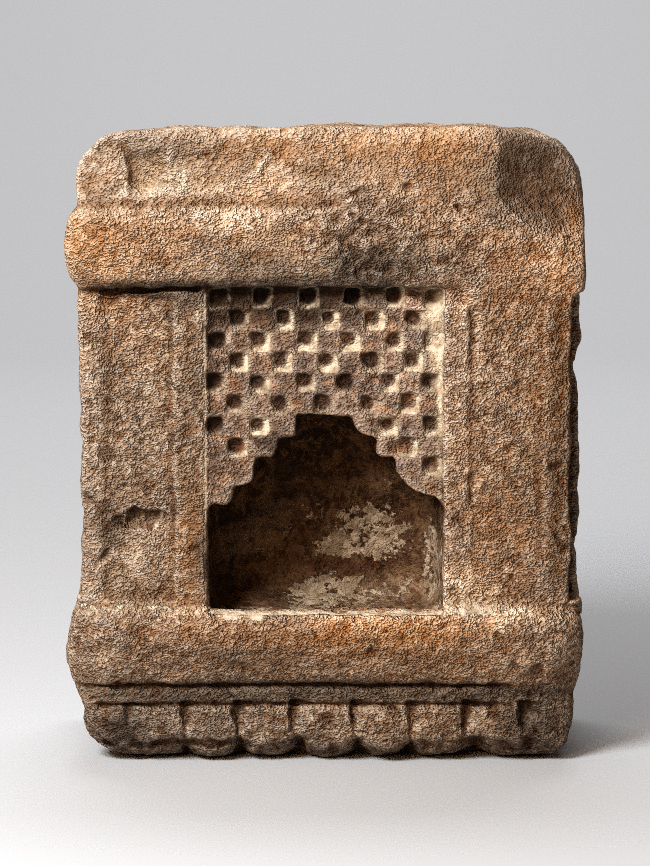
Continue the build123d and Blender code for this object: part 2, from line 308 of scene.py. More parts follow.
# recess of the screen and niche
RECESS = [(206.2, 286.5), (442.6, 286.0), (443.2, 609), (208.4, 609)]
rec_sd = poly_sd(px_poly(RECESS, 3.0), X2 + 0.35 * WARP_X, Z2 + 0.35 * WARP_Z)
slope = 1.0 + 2.4 * (1 - ramp(X2, -70, -50))
P = P + (6.0 - 4.2 * (1 - ramp(X2, -82, -54)) * ramp(Z2, 150, 180)) * ramp(-rec_sd, -0.6 * slope, 1.0 * slope)
# the screen is cut a little deeper towards its top left and is worn at its lower edge
P = P + ramp(-rec_sd, 0, 2) * (0.8 * ramp(Z2, 280, 316) - 0.9 * (1 - ramp(Z2, 180, 225)))

# broken and weathered places
UC, VC = seen(X2 + 2.2 * WARP_X, Z2 + 2.2 * WARP_Z, -4)
chip = ramp(UC - 0.22 * (VC - 165), 122.0, 133.0) * (1 - ramp(UC + 0.5 * (VC - 165), 142, 200)) * ramp(VC, 136, 176) * (1 - ramp(VC, 179, 195))
P = P + 8.5 * chip
P = P - pit(169, 157, 4, 15, 1.9, angle=-0.35, plane=-4)
P = P + facet([(84, 158), (104, 142), (126, 146), (128, 188), (100, 196), (80, 190)], -4, 1.2, 0.02, soft=3.0)
P = P + facet([(186, 160), (232, 138), (262, 142), (250, 176), (214, 190), (188, 186)], -4, 1.6, -0.01, soft=4.0)
P = P - pit(262, 163, 3, 15, 1.6, angle=-0.55, plane=-4)
P = P + pit(276, 150, 12, 10, 1.6, plane=-4) + pit(318, 172, 16, 9, 1.3, plane=-4)
ERODED = ramp(-((X2 - 42) / 58.0) ** 2 - ((Z2 - 347) / 36.0) ** 2, -1.3, -0.3)
ERODED = np.maximum(ERODED, 0.7 * ramp(-((X2 - 40) / 40.0) ** 2 - ((Z2 - 322) / 14.0) ** 2, -1.2, -0.3))
ERODED = ERODED * np.clip(0.72 + 0.75 * noise_grid((XS, ZS), 24.0, 71) + 0.35 * noise_grid((XS, ZS), 9.0, 72), 0, 1)
P = P + ERODED * (0.8 + 0.75 * noise_grid((XS, ZS), 14.0, 21) + 0.55 * noise_grid((XS, ZS), 6.5, 22) + 0.55 * noise_grid((XS, ZS), 3.6, 23))
for spec in (
    (408, 186, 5, 4, 4.2), (459, 206, 3, 4, 4.6), (351, 215, 4, 3, 3.6), (358, 192, 6, 3, 3.0), (372, 232, 8, 4, 1.8),
    (402, 214, 6, 4, 1.8), (428, 236, 7, 4, 1.8), (385, 252, 7, 4, 1.8), (440, 262, 6, 4, 1.6), (345, 240, 5, 4, 1.8),
    (420, 178, 5, 3, 1.4), (330, 205, 6, 3, 1.4), (300, 232, 9, 5, 0.9), (220, 240, 14, 6, 0.8), (366, 268, 8, 4, 1.6), (412, 272, 7, 4, 1.6),
):
    P = P + pit(*spec[:4], spec[4], angle=0.35, plane=-8, wob=0.6)
# left side of the shaft
P = P + facet([(128, 515), (134, 508), (158, 511), (160, 518), (150, 528), (136, 530), (126, 527)], 0, 6.5, -0.06, -0.18, soft=1.4)
P = P + pit(146, 516, 15, 5, 2.4, angle=-0.1) + pit(120, 526, 12, 4, 1.8, angle=0.45)
P = P + pit(88, 499, 8, 5, 5.0, power=2.6) + pit(100, 560, 12, 4, 2.2, angle=0.7) + pit(106, 556, 7, 3, 2.0, angle=0.7)
P = P + pit(146, 488, 14, 9, 1.7, angle=0.3) + pit(112, 545, 14, 12, -1.2) + pit(146, 556, 22, 16, -1.0)
P = P + pit(136, 401, 8, 3, 1.5, angle=0.5) + pit(120, 372, 10, 4, 1.2, angle=0.6) + pit(95, 345, 10, 12, 1.5)
P = P + pit(192, 341, 9, 5, 2.2, angle=0.5) + pit(187, 432, 11, 6, 2.0, angle=0.3) + pit(198, 470, 6, 16, 1.2)
P = P + pit(104, 305, 6, 10, 1.2) + pit(160, 590, 12, 6, 1.2, angle=0.4) + pit(200, 592, 10, 8, -1.0)
P = P + pit(92, 430, 9, 26, 1.2) + pit(172, 500, 5, 30, 1.0)
# right side of the shaft
P = P + pit(556, 465, 6, 5, 2.6) + pit(545, 470, 5, 12, -1.4) + pit(505, 455, 18, 7, 1.6, angle=0.3) + pit(530, 392, 20, 12, 1.0, angle=0.4)
P = P + pit(460, 300, 8, 10, 1.3) + pit(458, 514, 9, 8, 1.7) + pit(500, 590, 26, 10, 1.2) + pit(520, 430, 16, 10, 0.9)
P = P + pit(563, 330, 5, 24, 0.9) + pit(560, 520, 6, 30, 0.8)
# base and cornice
P = P + pit(374, 650, 6, 4, 3.0, plane=-10) + pit(300, 640, 30, 7, 1.0, plane=-10) + pit(180, 655, 26, 9, 1.1, plane=-10)
P = P + pit(470, 660, 22, 8, 1.2, plane=-10) + pit(430, 632, 16, 6, 0.8, plane=-10) + pit(250, 668, 20, 7, 0.9, plane=-10)
P = P + pit(140, 630, 16, 6, 1.1, plane=-10) + pit(540, 640, 16, 10, 1.2, plane=-10)
P = P + pit(100, 232, 12, 9, 1.4, plane=-8) + pit(160, 262, 26, 8, 1.1, plane=-8) + pit(255, 258, 18, 7, 0.9, plane=-8)
P = P + pit(498, 262, 14, 10, 1.4, plane=-8) + pit(540, 250, 14, 12, 1.2, plane=-8)
# slow unevenness of the dressed faces
P = P + 0.9 * noise_grid((XS, ZS), 46.0, 31) + 0.55 * noise_grid((XS, ZS), 21.0, 32)

# ------------------------------------------------------------------ outline of the block seen from the front
OUTLINE_FRONT = [
    (165, 127.4), (150, 128.4), (136, 129.8), (122, 130.8), (110, 133.4), (100.5, 138.6), (93.6, 144.6), (88.2, 150.4), (83, 156.6), (80.2, 162.4), (78.4, 168.6),
    (77.6, 177), (77, 186), (76, 193), (76.8, 199), (77, 204), (73.6, 210), (69, 215.6), (67, 223), (66, 232), (64.6, 246), (65.2, 259), (67.2, 269), (70.6, 278),
    (76.4, 285), (78.2, 292), (77.4, 304), (79.6, 318), (77.4, 336), (78.2, 351), (79, 385), (80, 411), (79.4, 426), (82, 441), (81, 456), (79.4, 486),
    (79.8, 497), (83.4, 509), (83.6, 531), (82, 546), (83, 560), (81.6, 575), (79.6, 589), (75.8, 604), (71.4, 618), (68.6, 632), (67, 643), (66.8, 655),
    (68, 667), (71.4, 678), (74.6, 688), (78.4, 696), (82.6, 703), (84.8, 710), (82.8, 720), (84.8, 731), (89, 739), (97.6, 746), (109, 751.5), (126, 757),
]
OUTLINE_BASE = [(150, 761), (200, 764.5), (265, 766.5), (339, 767), (400, 766), (460, 764.5), (520, 762), (540, 760)]
OUTLINE_RIGHT = [
    (552, 754), (561, 745), (567.5, 735), (570.6, 725), (572, 712), (573, 701), (573.4, 692), (575.5, 686), (578, 678), (580.4, 665), (581.6, 650), (582.2, 635), (581.4, 622), (578.6, 611),
]
OUTLINE_FLANK = [
    (577.8, 604), (577.6, 587), (576.6, 560), (574.6, 545), (580.6, 530), (577, 500), (576, 486), (580.2, 470), (581.6, 445), (579, 425), (578.4, 410), (577, 394), (573.4, 366), (575.6, 350), (580, 336), (581, 318), (579.4, 298),
]
OUTLINE_TOP = [
    (583.6, 284), (584.6, 272), (583.6, 258), (582.0, 235), (582.6, 215), (584.0, 199), (585.0, 188), (585.2, 179.6), (584.6, 172.6), (581.4, 166.6),
]
OUTLINE_CORNER = [
    (577.6, 161), (573.0, 155.4), (568.4, 149.6), (562.4, 144.4), (552.4, 139), (544, 135.8), (536, 132.8), (524, 131.2), (513, 129.4), (500, 126.2),
]
OUTLINE_CROWN = [
    (486, 126.4), (470, 126.2), (440, 126.4), (420, 126.8), (395, 126.8), (374, 126.4), (350, 126.2), (332, 126.8), (318, 126.4), (300, 127.8), (276, 128), (248, 127.4), (228, 126.4), (206, 128.4), (190, 127.6), (178, 127),
]
outline = px_poly(OUTLINE_FRONT, 4) + px_poly(OUTLINE_BASE, -3) + px_poly(OUTLINE_RIGHT, 12) + px_poly(OUTLINE_FLANK, 46) + px_poly(OUTLINE_TOP, 22) + px_poly(OUTLINE_CORNER, 52) + px_poly(OUTLINE_CROWN, -3)
outline = [(x, max(z, 0.0)) for x, z in outline]
S = poly_sd(outline, X2, Z2)

# ------------------------------------------------------------------ niche and sunk squares
ARCH = [
    (208.4, 640), (208.4, 520), (209, 506), (213, 503.4), (229, 503), (231.4, 500), (232.4, 488), (236, 485.4), (250, 484), (253, 480), (253.6, 466), (256, 461.4), (272, 460),
    (275, 456), (275.6, 442), (278, 438.4), (293, 437.4), (296, 433), (296.6, 420), (299, 416.6), (322, 415.6), (348, 416.4), (351.6, 419), (354.4, 429), (358, 434),
    (372, 437.4), (375.4, 441), (376.4, 453), (379, 457), (392, 459.4), (395.4, 463), (397.6, 472), (404, 480), (413, 488), (419, 493), (432, 498), (438.6, 502),
    (442.2, 509), (443, 522), (443.4, 640),
]
sd_niche = poly_sd(px_poly(ARCH, 6.0), X2 + 0.9 * WARP_X, Z2 + 0.9 * WARP_Z)
sd_niche = sd_niche + (0.55 * noise_grid((XS, ZS), 8.0, 74) + 0.3 * noise_grid((XS, ZS), 4.0, 75)) * ramp(Z2, 160, 176)  # worn steps

SQUARES = [  # height in the picture frame, then each centre, how dark its hole is and how much lime its lower and right walls keep
    (297.5, ((218.6, 1.0, 0.12), (261.6, 1.0, 0.35), (308.8, 0.95, 0.5), (354.1, 0.9, 0.6), (395.4, 0.6, 0.9), (434.0, 0.6, 1.0))),
    (320.0, ((238.2, 0.75, 0.45), (284.6, 0.35, 0.8), (330.9, 0.15, 1.0), (373.8, 0.1, 1.0), (415.4, 0.7, 0.6))),
    (341.4, ((216.8, 0.85, 0.4), (259.7, 0.4, 0.85), (306.0, 0.3, 0.85), (349.8, 0.1, 0.95), (393.4, 0.3, 0.9), (432.4, 0.2, 1.0))),
    (362.0, ((238.4, 0.35, 0.8), (282.8, 0.2, 0.95), (328.2, 0.3, 1.0), (371.0, 0.55, 0.6), (412.2, 0.35, 0.95))),
    (382.6, ((215.8, 0.9, 0.4), (259.6, 0.65, 0.7), (305.2, 0.55, 0.6), (346.0, 0.85, 0.35), (389.2, 0.2, 0.95), (430.2, 0.6, 0.6))),
    (404.2, ((236.4, 0.6, 0.55), (280.4, 0.5, 0.6), (323.6, 0.3, 0.4), (368.4, 0.5, 0.6), (409.6, 0.3, 0.95))),
    (426.0, ((215.8, 0.9, 0.3), (259.8, 0.3, 0.95), (388.2, 0.45, 0.8), (432.6, 0.4, 0.8))),
    (447.4, ((236.4, 0.5, 0.7), (408.0, 0.12, 0.75))),
    (466.4, ((432.4, 0.55, 0.8),)),
]
r = np.random.default_rng(5)
sd_sq = np.full(S.shape, 50.0)
sq_film, sq_hole, bowls = np.zeros(S.shape), np.zeros(S.shape), np.zeros(S.shape)
for v, row_ in SQUARES:
    for u, dark, keep_ in row_:
        cx, cz = at(u, v, 6.0)
        half = 7.1 + r.uniform(-0.3, 0.3)
        ang = r.uniform(-0.06, 0.06)
        dx, dz = X2 + 0.6 * WARP_X - cx, Z2 + 0.6 * WARP_Z - cz
        a, b = dx * math.cos(ang) + dz * math.sin(ang), -dx * math.sin(ang) + dz * math.cos(ang)
        rad = 3.0
        qa, qb = np.abs(a) - (half - rad), np.abs(b) - (half - rad)
        sd = np.hypot(np.maximum(qa, 0), np.maximum(qb, 0)) + np.minimum(np.maximum(qa, qb), 0) - rad
        # a shallow square mouth, and in it a round hole up and to the left of the middle
        t = np.maximum(-sd, 0)
        ha, hb = -0.7 + r.uniform(-0.5, 0.5), 0.8 + r.uniform(-0.5, 0.5)
        hole_r = (0.64 + 0.20 * dark + r.uniform(-0.05, 0.05)) * half
        rr = np.hypot(a - ha, (b - hb) * r.uniform(0.92, 1.08)) + 0.5 * WARP_Z
        core = 1 - ramp(rr, hole_r - 2.6, hole_r + 0.9)
        climb = np.clip(1 - (a - b + 1.5) / (2.4 * half), 0.15, 1.0)
        bowl = ((0.9 + 1.0 * climb) * ramp(t, -0.5, 1.8) + (1.3 + 2.9 * dark) * core * ramp(t, 0.0, 2.2)) * (sd < 0.5)
        bowls = np.maximum(bowls, bowl)
        # lime on the lower and right walls, the side the light falls on: lime, and painted light as well
        lower = ramp(a - b, -8.0, 4.0) * (1 - (0.66 + 0.32 * dark) * core)
        rim = np.exp(-(((sd + 0.5) / 0.9) ** 2))
        near = sd < np.minimum(sd_sq, 1.6)
        sq_film = np.where(near, np.maximum(keep_ * lower * ramp(-sd, -1.2, 1.0), (0.95 if v < 300 else 0.80) * np.maximum(keep_, 0.62) * rim), sq_film)
        # painted shade: the hole is coloured dark, most at its upper left, where the rim shades it
        sq_hole = np.where(near, np.maximum(dark - 0.04, 0) * core * ramp(-sd, 0.0, 1.2) * (1 - 0.5 * ramp(a - b, -1.0, 6.5)), sq_hole)
        sd_sq = np.minimum(sd_sq, sd)
bowls = bowls + ramp(-sd_sq, -0.5, 1.5) * 0.35 * noise_grid((XS, ZS), 5.0, 24) * (bowls > 1)
P = P + bowls
gx, gz = np.gradient(P, XS, ZS)
STEEP = np.sqrt(1 + gx**2 + gz**2)
print("maps ready")

# ------------------------------------------------------------------ the field
Y3 = YS[None, :, None]
X3, Z3 = XS[:, None, None], ZS[None, None, :]
rough = noise_grid((XS, YS, ZS), 30.0, 41)
rough2 = noise_grid((XS, YS, ZS), 12.0, 42)
behind = ramp(YS, -58, -30)[None, :, None]  # 0 at the front, 1 on flanks and back
F = ((SHAFT_Y + P)[:, None, :] - Y3) / STEEP[:, None, :]
side = S[:, None, :].astype(np.float32) + behind * (1.3 * rough + 0.6 * rough2) + 0.35 * rough2
side += 0.6 * behind * ramp(YS, 30, 80)[None, :, None]
side += 0.03 * (Y3 - SHAFT_Y) * ramp(Z3, 380, 412)
k_edge = np.clip(6.0 + 2.0 * rough, 3.0, 10.0) - 3.0 * ramp(Z3, 380, 408)
k_edge = np.maximum(k_edge, 2.2)
F = smax(F, side, k_edge)
# left of the shaft the corner is worn rounder; right of it a strip is left unworked behind a rebate
rebate = np.maximum(np.maximum(161.2 + 0.6 * rough2 - X3, Y3 - (-33.0 + 2.0 * rough)), 109.5 - Z3)
rebate = smax(rebate, 0.7 * (Z3 - 313.0 - 1.5 * rough), 9.0)
F = smax(F, -rebate, 2.4)
back = Y3 - (73.6 + 1.5 * rough + 0.8 * rough2)
F = smax(F, back, 8.0)
del side, back, rebate
F = smax(F, -Z3, 3.0)
# notches that scallop the lower front edge
for u, h in NOTCHES:
    xn, _ = at(u, 756, -3)
    tri = (np.abs(X2 + 1.2 * WARP_X - xn) - (1 - Z2 / h) * (9.5 if u > 460 else 5.5)) * 0.8
    cut = smax(tri[:, None, :] + 0 * Y3, Y3 - (SHAFT_Y + 20) + 0.6 * Z3, 3.0)
    F = smax(F, -cut, 3.0)
face_y = SHAFT_Y + 6.0
# niche: its walls draw in towards the back, its floor lies sunk behind the sill
t = np.clip((YS - face_y) / 67.0, 0, 1.3)
draw = (2.0 * t + 5.0 * t**3)[None, :, None]
rise = np.clip((Z2 - 105) / 128.0, 0, 1.2)
back_y = 8.0 - 9.0 * rise**2 - 7.0 * np.abs(X2 / 78.0) ** 4 + 1.5 * noise_grid((XS, ZS), 26.0, 51) + 0.8 * noise_grid((XS, ZS), 11.0, 52)
hollow = smax(sd_niche[:, None, :] + draw, Y3 - back_y[:, None, :], 24.0)
floor_z = 102.4 - 5.2 * ramp(YS, -56.0, -47.5)[None, :, None] + 0.6 * noise_grid((XS, YS), 24.0, 53)[:, :, None]
hollow = smax(hollow, floor_z - Z3, 4.0 + 18.0 * ramp(YS, -54.0, -38.0)[None, :, None])
hollow = hollow + 0.5 * rough2 * ramp(YS, -56, -40)[None, :, None]
F = smax(F, -hollow.astype(np.float32), 3.2).astype(np.float32)
del hollow
print("field ready", F.shape)


# ------------------------------------------------------------------ surface of the field
def surface(f, xs, ys, zs):
    """Closed surface where f is 0, as vertices and four-sided faces: one vertex in each cell that the surface passes through."""
    inside = f < 0
    count = np.zeros(tuple(n - 1 for n in f.shape), np.uint8)
    for a in (0, 1):
        for b in (0, 1):
            for c in (0, 1):
                count += inside[a : f.shape[0] - 1 + a, b : f.shape[1] - 1 + b, c : f.shape[2] - 1 + c]
    active = (count > 0) & (count < 8)
    index = np.full(active.shape, -1, np.int32)
    ii, jj, kk = np.nonzero(active)
    index[active] = np.arange(len(ii))
    pos = np.zeros((len(ii), 3))
    num = np.zeros(len(ii))
    axes = (xs.astype(float), ys.astype(float), zs.astype(float))
    base = (ii, jj, kk)
    corners = [(a, b, c) for a in (0, 1) for b in (0, 1) for c in (0, 1)]
    value = {q: f[ii + q[0], jj + q[1], kk + q[2]].astype(float) for q in corners}
    for q in corners:
        for d in range(3):
            if q[d]:
                continue
            q2 = tuple(1 if e == d else q[e] for e in range(3))
            fa, fb = value[q], value[q2]
            hit = (fa < 0) != (fb < 0)
            t = np.where(hit, fa / np.where(hit, fa - fb, 1.0), 0.0)
            for e in range(3):
                lo = axes[e][base[e] + q[e]]
                hi = axes[e][base[e] + q2[e]]
                pos[:, e] += np.where(hit, lo + (hi - lo) * t, 0.0)
            num += hit
    pos /= num[:, None]
    quads = []
    for d in range(3):
        s0 = [slice(1, -1)] * 3
        s1 = [slice(1, -1)] * 3
        s0[d], s1[d] = slice(0, -1), slice(1, None)
        a, b = inside[tuple(s0)], inside[tuple(s1)]
        cross = np.argwhere(a != b)
        first = a[tuple(cross.T)]
        off = np.ones(3, int)
        off[d] = 0
        c = cross + off
        e, g = (d + 1) % 3, (d + 2) % 3
        ring = []
        for da, db in ((-1, -1), (0, -1), (0, 0), (-1, 0)):
            cell = c.copy()
            cell[:, e] += da
            cell[:, g] += db
            ring.append(index[tuple(cell.T)])
        ring = np.stack(ring, 1)
        ring[~first] = ring[~first][:, ::-1]
        quads.append(ring)
    return pos, np.concatenate(quads)


def main_piece(n, faces):
    """Which vertices belong to the largest connected piece."""
    label = np.arange(n)
    e = np.concatenate([faces[:, [0, 1]], faces[:, [1, 2]], faces[:, [2, 3]]])
    while True:
        low = np.minimum(label[e[:, 0]], label[e[:, 1]])
        new = label.copy()
        np.minimum.at(new, e[:, 0], low)
        np.minimum.at(new, e[:, 1], low)
        new = new[new]
        if (new == label).all():
            break
        label = new
    big = np.bincount(label).argmax()
    return label == big


def make_mesh(name, verts, faces):
    mesh = bpy.data.meshes.new(name)
    n = faces.shape[1]
    mesh.vertices.add(len(verts))
    mesh.vertices.foreach_set("co", verts.astype(np.float32).ravel())
    mesh.loops.add(faces.size)
    mesh.loops.foreach_set("vertex_index", faces.astype(np.int32).ravel())
    mesh.polygons.add(len(faces))
    mesh.polygons.foreach_set("loop_start", np.arange(0, faces.size, n, dtype=np.int32))
    mesh.update(calc_edges=True)
    mesh.validate()
    return mesh


def read_mesh(mesh):
    v = np.zeros(len(mesh.vertices) * 3, np.float32)
    mesh.vertices.foreach_get("co", v)
    nrm = np.zeros(len(mesh.vertices) * 3, np.float32)
    mesh.vertices.foreach_get("normal", nrm)
    return v.reshape(-1, 3).astype(float), nrm.reshape(-1, 3).astype(float)


def read_edges(mesh):
    e = np.zeros(len(mesh.edges) * 2, np.int32)
    mesh.edges.foreach_get("vertices", e)
    return e.reshape(-1, 2)


verts, faces = surface(F, XS, YS, ZS)
keep = main_piece(len(verts), faces)
faces = faces[keep[faces].all(1)]
new_id = np.cumsum(keep) - 1
verts, faces = verts[keep], new_id[faces]
print("surface", len(verts), len(faces))
del F


def sample(field, p):
    """Value of a front map at points, by their x and z."""
    fx = np.interp(p[:, 0], XS, np.arange(len(XS)))
    fz = np.interp(p[:, 2], ZS, np.arange(len(ZS)))
    i, j = np.minimum(fx.astype(int), len(XS) - 2), np.minimum(fz.astype(int), len(ZS) - 2)
    a, b = fx - i, fz - j
    return field[i, j] * (1 - a) * (1 - b) + field[i + 1, j] * a * (1 - b) + field[i, j + 1] * (1 - a) * b + field[i + 1, j + 1] * a * b


def in_niche(p):
    """1 inside the niche, 0 on the outer faces."""
    return ramp(-sample(sd_niche, p), -4.0, 0.5) * ramp(p[:, 1], SHAFT_Y + 3.0, SHAFT_Y + 12.0) * (p[:, 2] > 98) * (p[:, 1] < 60)


def stone_rough(p, n):
    """How far the stone's own roughness moves each point along its normal, in mm."""
    inner = in_niche(p)
    screen = ramp(-sample(rec_sd, p), -1, 1.5) * (p[:, 1] < -30) * (1 - inner)
    worn = np.clip(sample(ERODED, p), 0, 1) * (p[:, 1] < -30)
    upper = ramp(p[:, 2], 314, 322) * (p[:, 1] < -30)
    bevel = np.clip(sample(BEVEL, p), 0, 1) * (p[:, 1] < -30)
    amp = (1.05 - 0.45 * upper) * (1 - 0.6 * bevel) - 0.5 * inner - 0.35 * screen + 0.7 * worn
    # grains lie in low ripples that climb to the right, as the beds of the stone do
    lay = 0.10 * noise_at(p, 4.4, 61, (1.8, 1.0, 0.8), tilt=0.45) + 0.09 * noise_at(p, 2.5, 62, (1.5, 1.0, 0.85), tilt=0.5)
    lumps = 0.26 * noise_at(p, 12.0, 63) + 0.10 * noise_at(p, 6.0, 64) + 0.07 * noise_at(p, 2.6, 65)
    hollows = np.maximum(noise_at(p, 5.5, 66) - 1.3, 0) * 0.9 + np.maximum(noise_at(p, 11.0, 67) - 1.5, 0) * 1.3
    rear = ramp(p[:, 1], -30, 10) * (1 - inner) * (p[:, 2] < 400)
    along = p[:, 2] * 0.62 + (p[:, 0] + p[:, 1]) * 0.78 + 2.6 * noise_at(p, 26.0, 68)
    rows = np.abs(np.mod(along / 9.5, 1.0) - 0.5) * 2.0
    pick = -0.75 * np.maximum(1 - rows / 0.42, 0) * np.clip(0.5 + 0.8 * noise_at(p, 15.0, 69), 0, 1)
    return amp * (lay + lumps - 0.7 * hollows * (1 - 0.5 * upper * (1 - worn)) * (1 - 0.6 * rear)) + rear * pick


mesh = make_mesh("shrine_stone", verts, faces)
verts, normals = read_mesh(mesh)
base_flat = ramp(verts[:, 2], 0.4, 4.0)  # the bed it stands on stays level
verts = verts + normals * (stone_rough(verts, normals) * base_flat)[:, None]
verts[:, 2] = np.maximum(verts[:, 2], 0.0)
mesh.vertices.foreach_set("co", verts.astype(np.float32).ravel())
mesh.update()

stone = bpy.data.objects.new("shrine_stone", mesh)
bpy.context.scene.collection.objects.link(stone)


def thin(obj, ratio, group=None):
    """Fewer triangles, kept where the shape needs them; a group names the vertices that may go first."""
    mod = obj.modifiers.new("thin", "DECIMATE")
    mod.decimate_type = "COLLAPSE"
    mod.ratio = ratio
    mod.use_collapse_triangulate = True
    if group:
        mod.vertex_group = group
        mod.vertex_group_factor = 1000.0
    deps = bpy.context.evaluated_depsgraph_get()
    new = bpy.data.meshes.new_from_object(obj.evaluated_get(deps))
    old = obj.data
    obj.modifiers.clear()
    obj.data = new
    bpy.data.meshes.remove(old)


LIMIT = 194000
tris = 2 * len(faces)
far = (verts[:, 1] > -44) & (in_niche(verts) < 0.5)
group = stone.vertex_groups.new(name="far")
group.add(np.nonzero(far)[0].tolist(), 1.0, "REPLACE")
far_tris = int(2 * len(faces) * far.mean())
first = (tris - far_tris * 0.72) / tris
thin(stone, first, "far")
print("thinned far", len(stone.data.polygons))
thin(stone, LIMIT / len(stone.data.polygons))
print("thinned all", len(stone.data.polygons))
stone.vertex_groups.clear()
mesh = stone.data
mesh.name = "shrine_stone"

# ------------------------------------------------------------------ measures kept on the mesh
verts, normals = read_mesh(mesh)
edges = read_edges(mesh)


def spread(values, times):
    """Average of each vertex with its neighbours, repeated."""
    n = len(verts)
    deg = np.bincount(edges.ravel(), minlength=n).astype(float)
    out = values.astype(float)
    for _ in range(times):
        acc = np.stack(
            [
                np.bincount(edges[:, 0], out[edges[:, 1], k], n) + np.bincount(edges[:, 1], out[edges[:, 0], k], n)
                for k in range(out.shape[1])
            ],
            1,
        )
        out = 0.5 * out + 0.5 * acc / deg[:, None]
    return out


def hollowness(times, scale):
    """Positive in hollows, negative on ridges."""
    away = spread(verts, times) - verts
    return np.clip((away * normals).sum(1) / scale, -1, 1)


cav_fine = hollowness(3, 0.35)
cav_wide = hollowness(26, 1.6)

inner = in_niche(verts)
front = (verts[:, 1] < -30).astype(float)
sq_in = ramp(-sample(sd_sq, verts), -0.2, 0.8) * (verts[:, 1] > SHAFT_Y + 6.6) * (verts[:, 1] < SHAFT_Y + 22) * (1 - inner)
px_x, px_z = verts[:, 0], verts[:, 2]


def blot(u, v, ru, rv, depth=0.0, angle=0.0, power=2.0):
    """Soft patch at a spot of the picture frame, as 0 to 1 over the vertices."""
    cx, cz = at(u, v, depth)
    dx, dz = px_x - cx, px_z - cz
    c, s = math.cos(angle), math.sin(angle)
    a, b = (dx * c + dz * s) / (ru * 0.655), (-dx * s + dz * c) / (rv * 0.655)
    return np.exp(-((a * a + b * b) ** (power / 2)))


# lime wash: a thin film in the sunk squares and along the edges of the recess, flakes on the sill and on the niche wall
wash = np.zeros(len(verts))
in_screen = (verts[:, 1] < SHAFT_Y + 22) * (1 - inner)
film = sample(sq_film, verts) * in_screen
hole = np.clip(sample(sq_hole, verts), 0, 1) * in_screen
rec_d = sample(rec_sd, verts)
tall = ramp(px_z, 100, 112) * (1 - ramp(px_z, 312, 318)) * front
edge_r = np.exp(-np.abs((px_x - 76.2) / np.where(px_x > 76.2, 2.0, 5.0)) ** 2) * tall
edge_l = np.exp(-(((px_x + 79.0) / 1.5) ** 2)) * tall
film = np.maximum(film, edge_r * (0.45 + 0.45 * ramp(px_z, 200, 250)))
film = np.maximum(film, edge_l * 0.62)
sill = ramp(normals[:, 2], 0.62, 0.90) * (np.abs(px_x) < 79) * ramp(px_z, 99.6, 101.0) * (1 - ramp(px_z, 104.5, 107)) * (1 - ramp(verts[:, 1], -64.5, -61.0)) * ramp(verts[:, 1], -71.5, -69.0)
film = np.maximum(film, 0.95 * sill)
film = np.maximum(film, 0.90 * blot(434, 312, 10, 26, 6, power=3) * front * (1 - inner) * (1 - hole))
film = np.maximum(film, 0.78 * blot(434, 345, 10, 60, 6, power=3) * front * (1 - inner) * (1 - hole))
film = np.maximum(film, 0.55 * blot(438, 410, 6, 66, 6, power=3) * front * (1 - inner) * (1 - hole))
film = np.maximum(film, 0.42 * blot(430, 472, 13, 20, 6) * front * (1 - inner))
film = np.maximum(film, 0.40 * blot(228, 482, 18, 14, 6) * front * (1 - inner))
film = np.maximum(film, 0.16 * ramp(-rec_d, 0, 2) * front * (1 - inner) * ramp(px_z, 170, 186))
wash = np.maximum(wash, 1.15 * np.maximum(blot(231, 616, 12, 3.4, -4, angle=0.12, power=3), blot(256, 617, 12, 4.0, -4, angle=-0.2, power=3)) * front)
wash = np.maximum(wash, 0.9 * blot(470, 608, 26, 7.0, -3, angle=-0.12) * front)
wash = np.maximum(wash, 0.40 * blot(140, 607, 70, 4.0, -2, power=4) * front)
lit = (
    0.76 * blot(367, 534, 43, 30, 70, angle=0.35, power=5) + 0.62 * blot(336, 548, 28, 13, 70, power=4) + 0.82 * blot(331, 593, 49, 16.5, 62, power=5) + 0.62 * blot(432, 560, 11, 46, 40, power=3)
    + 0.30 * blot(386, 546, 22, 14, 66) + 0.16 * blot(300, 512, 34, 26, 70) + 0.10 * blot(250, 555, 30, 36, 66) + 0.52 * blot(404, 586, 30, 14, 60) + 0.12 * blot(386, 482, 18, 12, 66)
)
band_in = inner * np.clip(blot(358, 564, 66, 8.0, 68, power=4) + 0.8 * blot(402, 540, 14, 30, 66, angle=0.3) + 0.6 * blot(404, 588, 30, 16, 60), 0, 1)
lit = lit * (1 - 0.9 * blot(352, 564, 62, 7.0, 68, power=5)) * (1 - 0.75 * blot(408, 507, 26, 14, 66, power=3))
wash = np.maximum(wash, inner * np.clip(lit, 0, 1))
# painted light on the niche walls, as lighter ochre flakes: at the lit lower right, and over the shaded left wall
lift = inner * np.clip(0.95 * blot(404, 590, 46, 20, 62, power=3) + 0.35 * blot(425, 548, 16, 36, 56) + 0.6 * blot(386, 486, 26, 11, 68) + 0.85 * blot(240, 548, 40, 66, 60) + 0.3 * blot(290, 530, 40, 40, 68), 0, 1)
# soot of lamps, and painted shade: the niche's upper and left walls, less where its back is lit
soot_and_painted_shade = inner * np.clip(0.05 + 0.80 * ramp(px_z - 0.6 * px_x, 160, 200) + 0.15 * ramp(-px_x, 20, 74), 0, 1) * (1 - 0.6 * np.clip(lit, 0, 1))
# painted shadow of the cornice, with some soot, darkening the top of the screen
soot_and_painted_shade = np.maximum(soot_and_painted_shade, 0.98 * ramp(px_z, 283, 299) * (1 - ramp(px_x, -2, 58)) * ramp(-rec_d, 0, 1.5) * front * (1 - inner))
soot_and_painted_shade = np.maximum(soot_and_painted_shade, 0.5 * ramp(px_z, 303, 313) * (1 - ramp(px_x, 20, 72)) * ramp(-rec_d, 0, 1.5) * front * (1 - inner))
screen = ramp(-rec_d, -0.5, 1.5) * (verts[:, 1] < -40) * (1 - inner) * ramp(px_z, 168, 182)
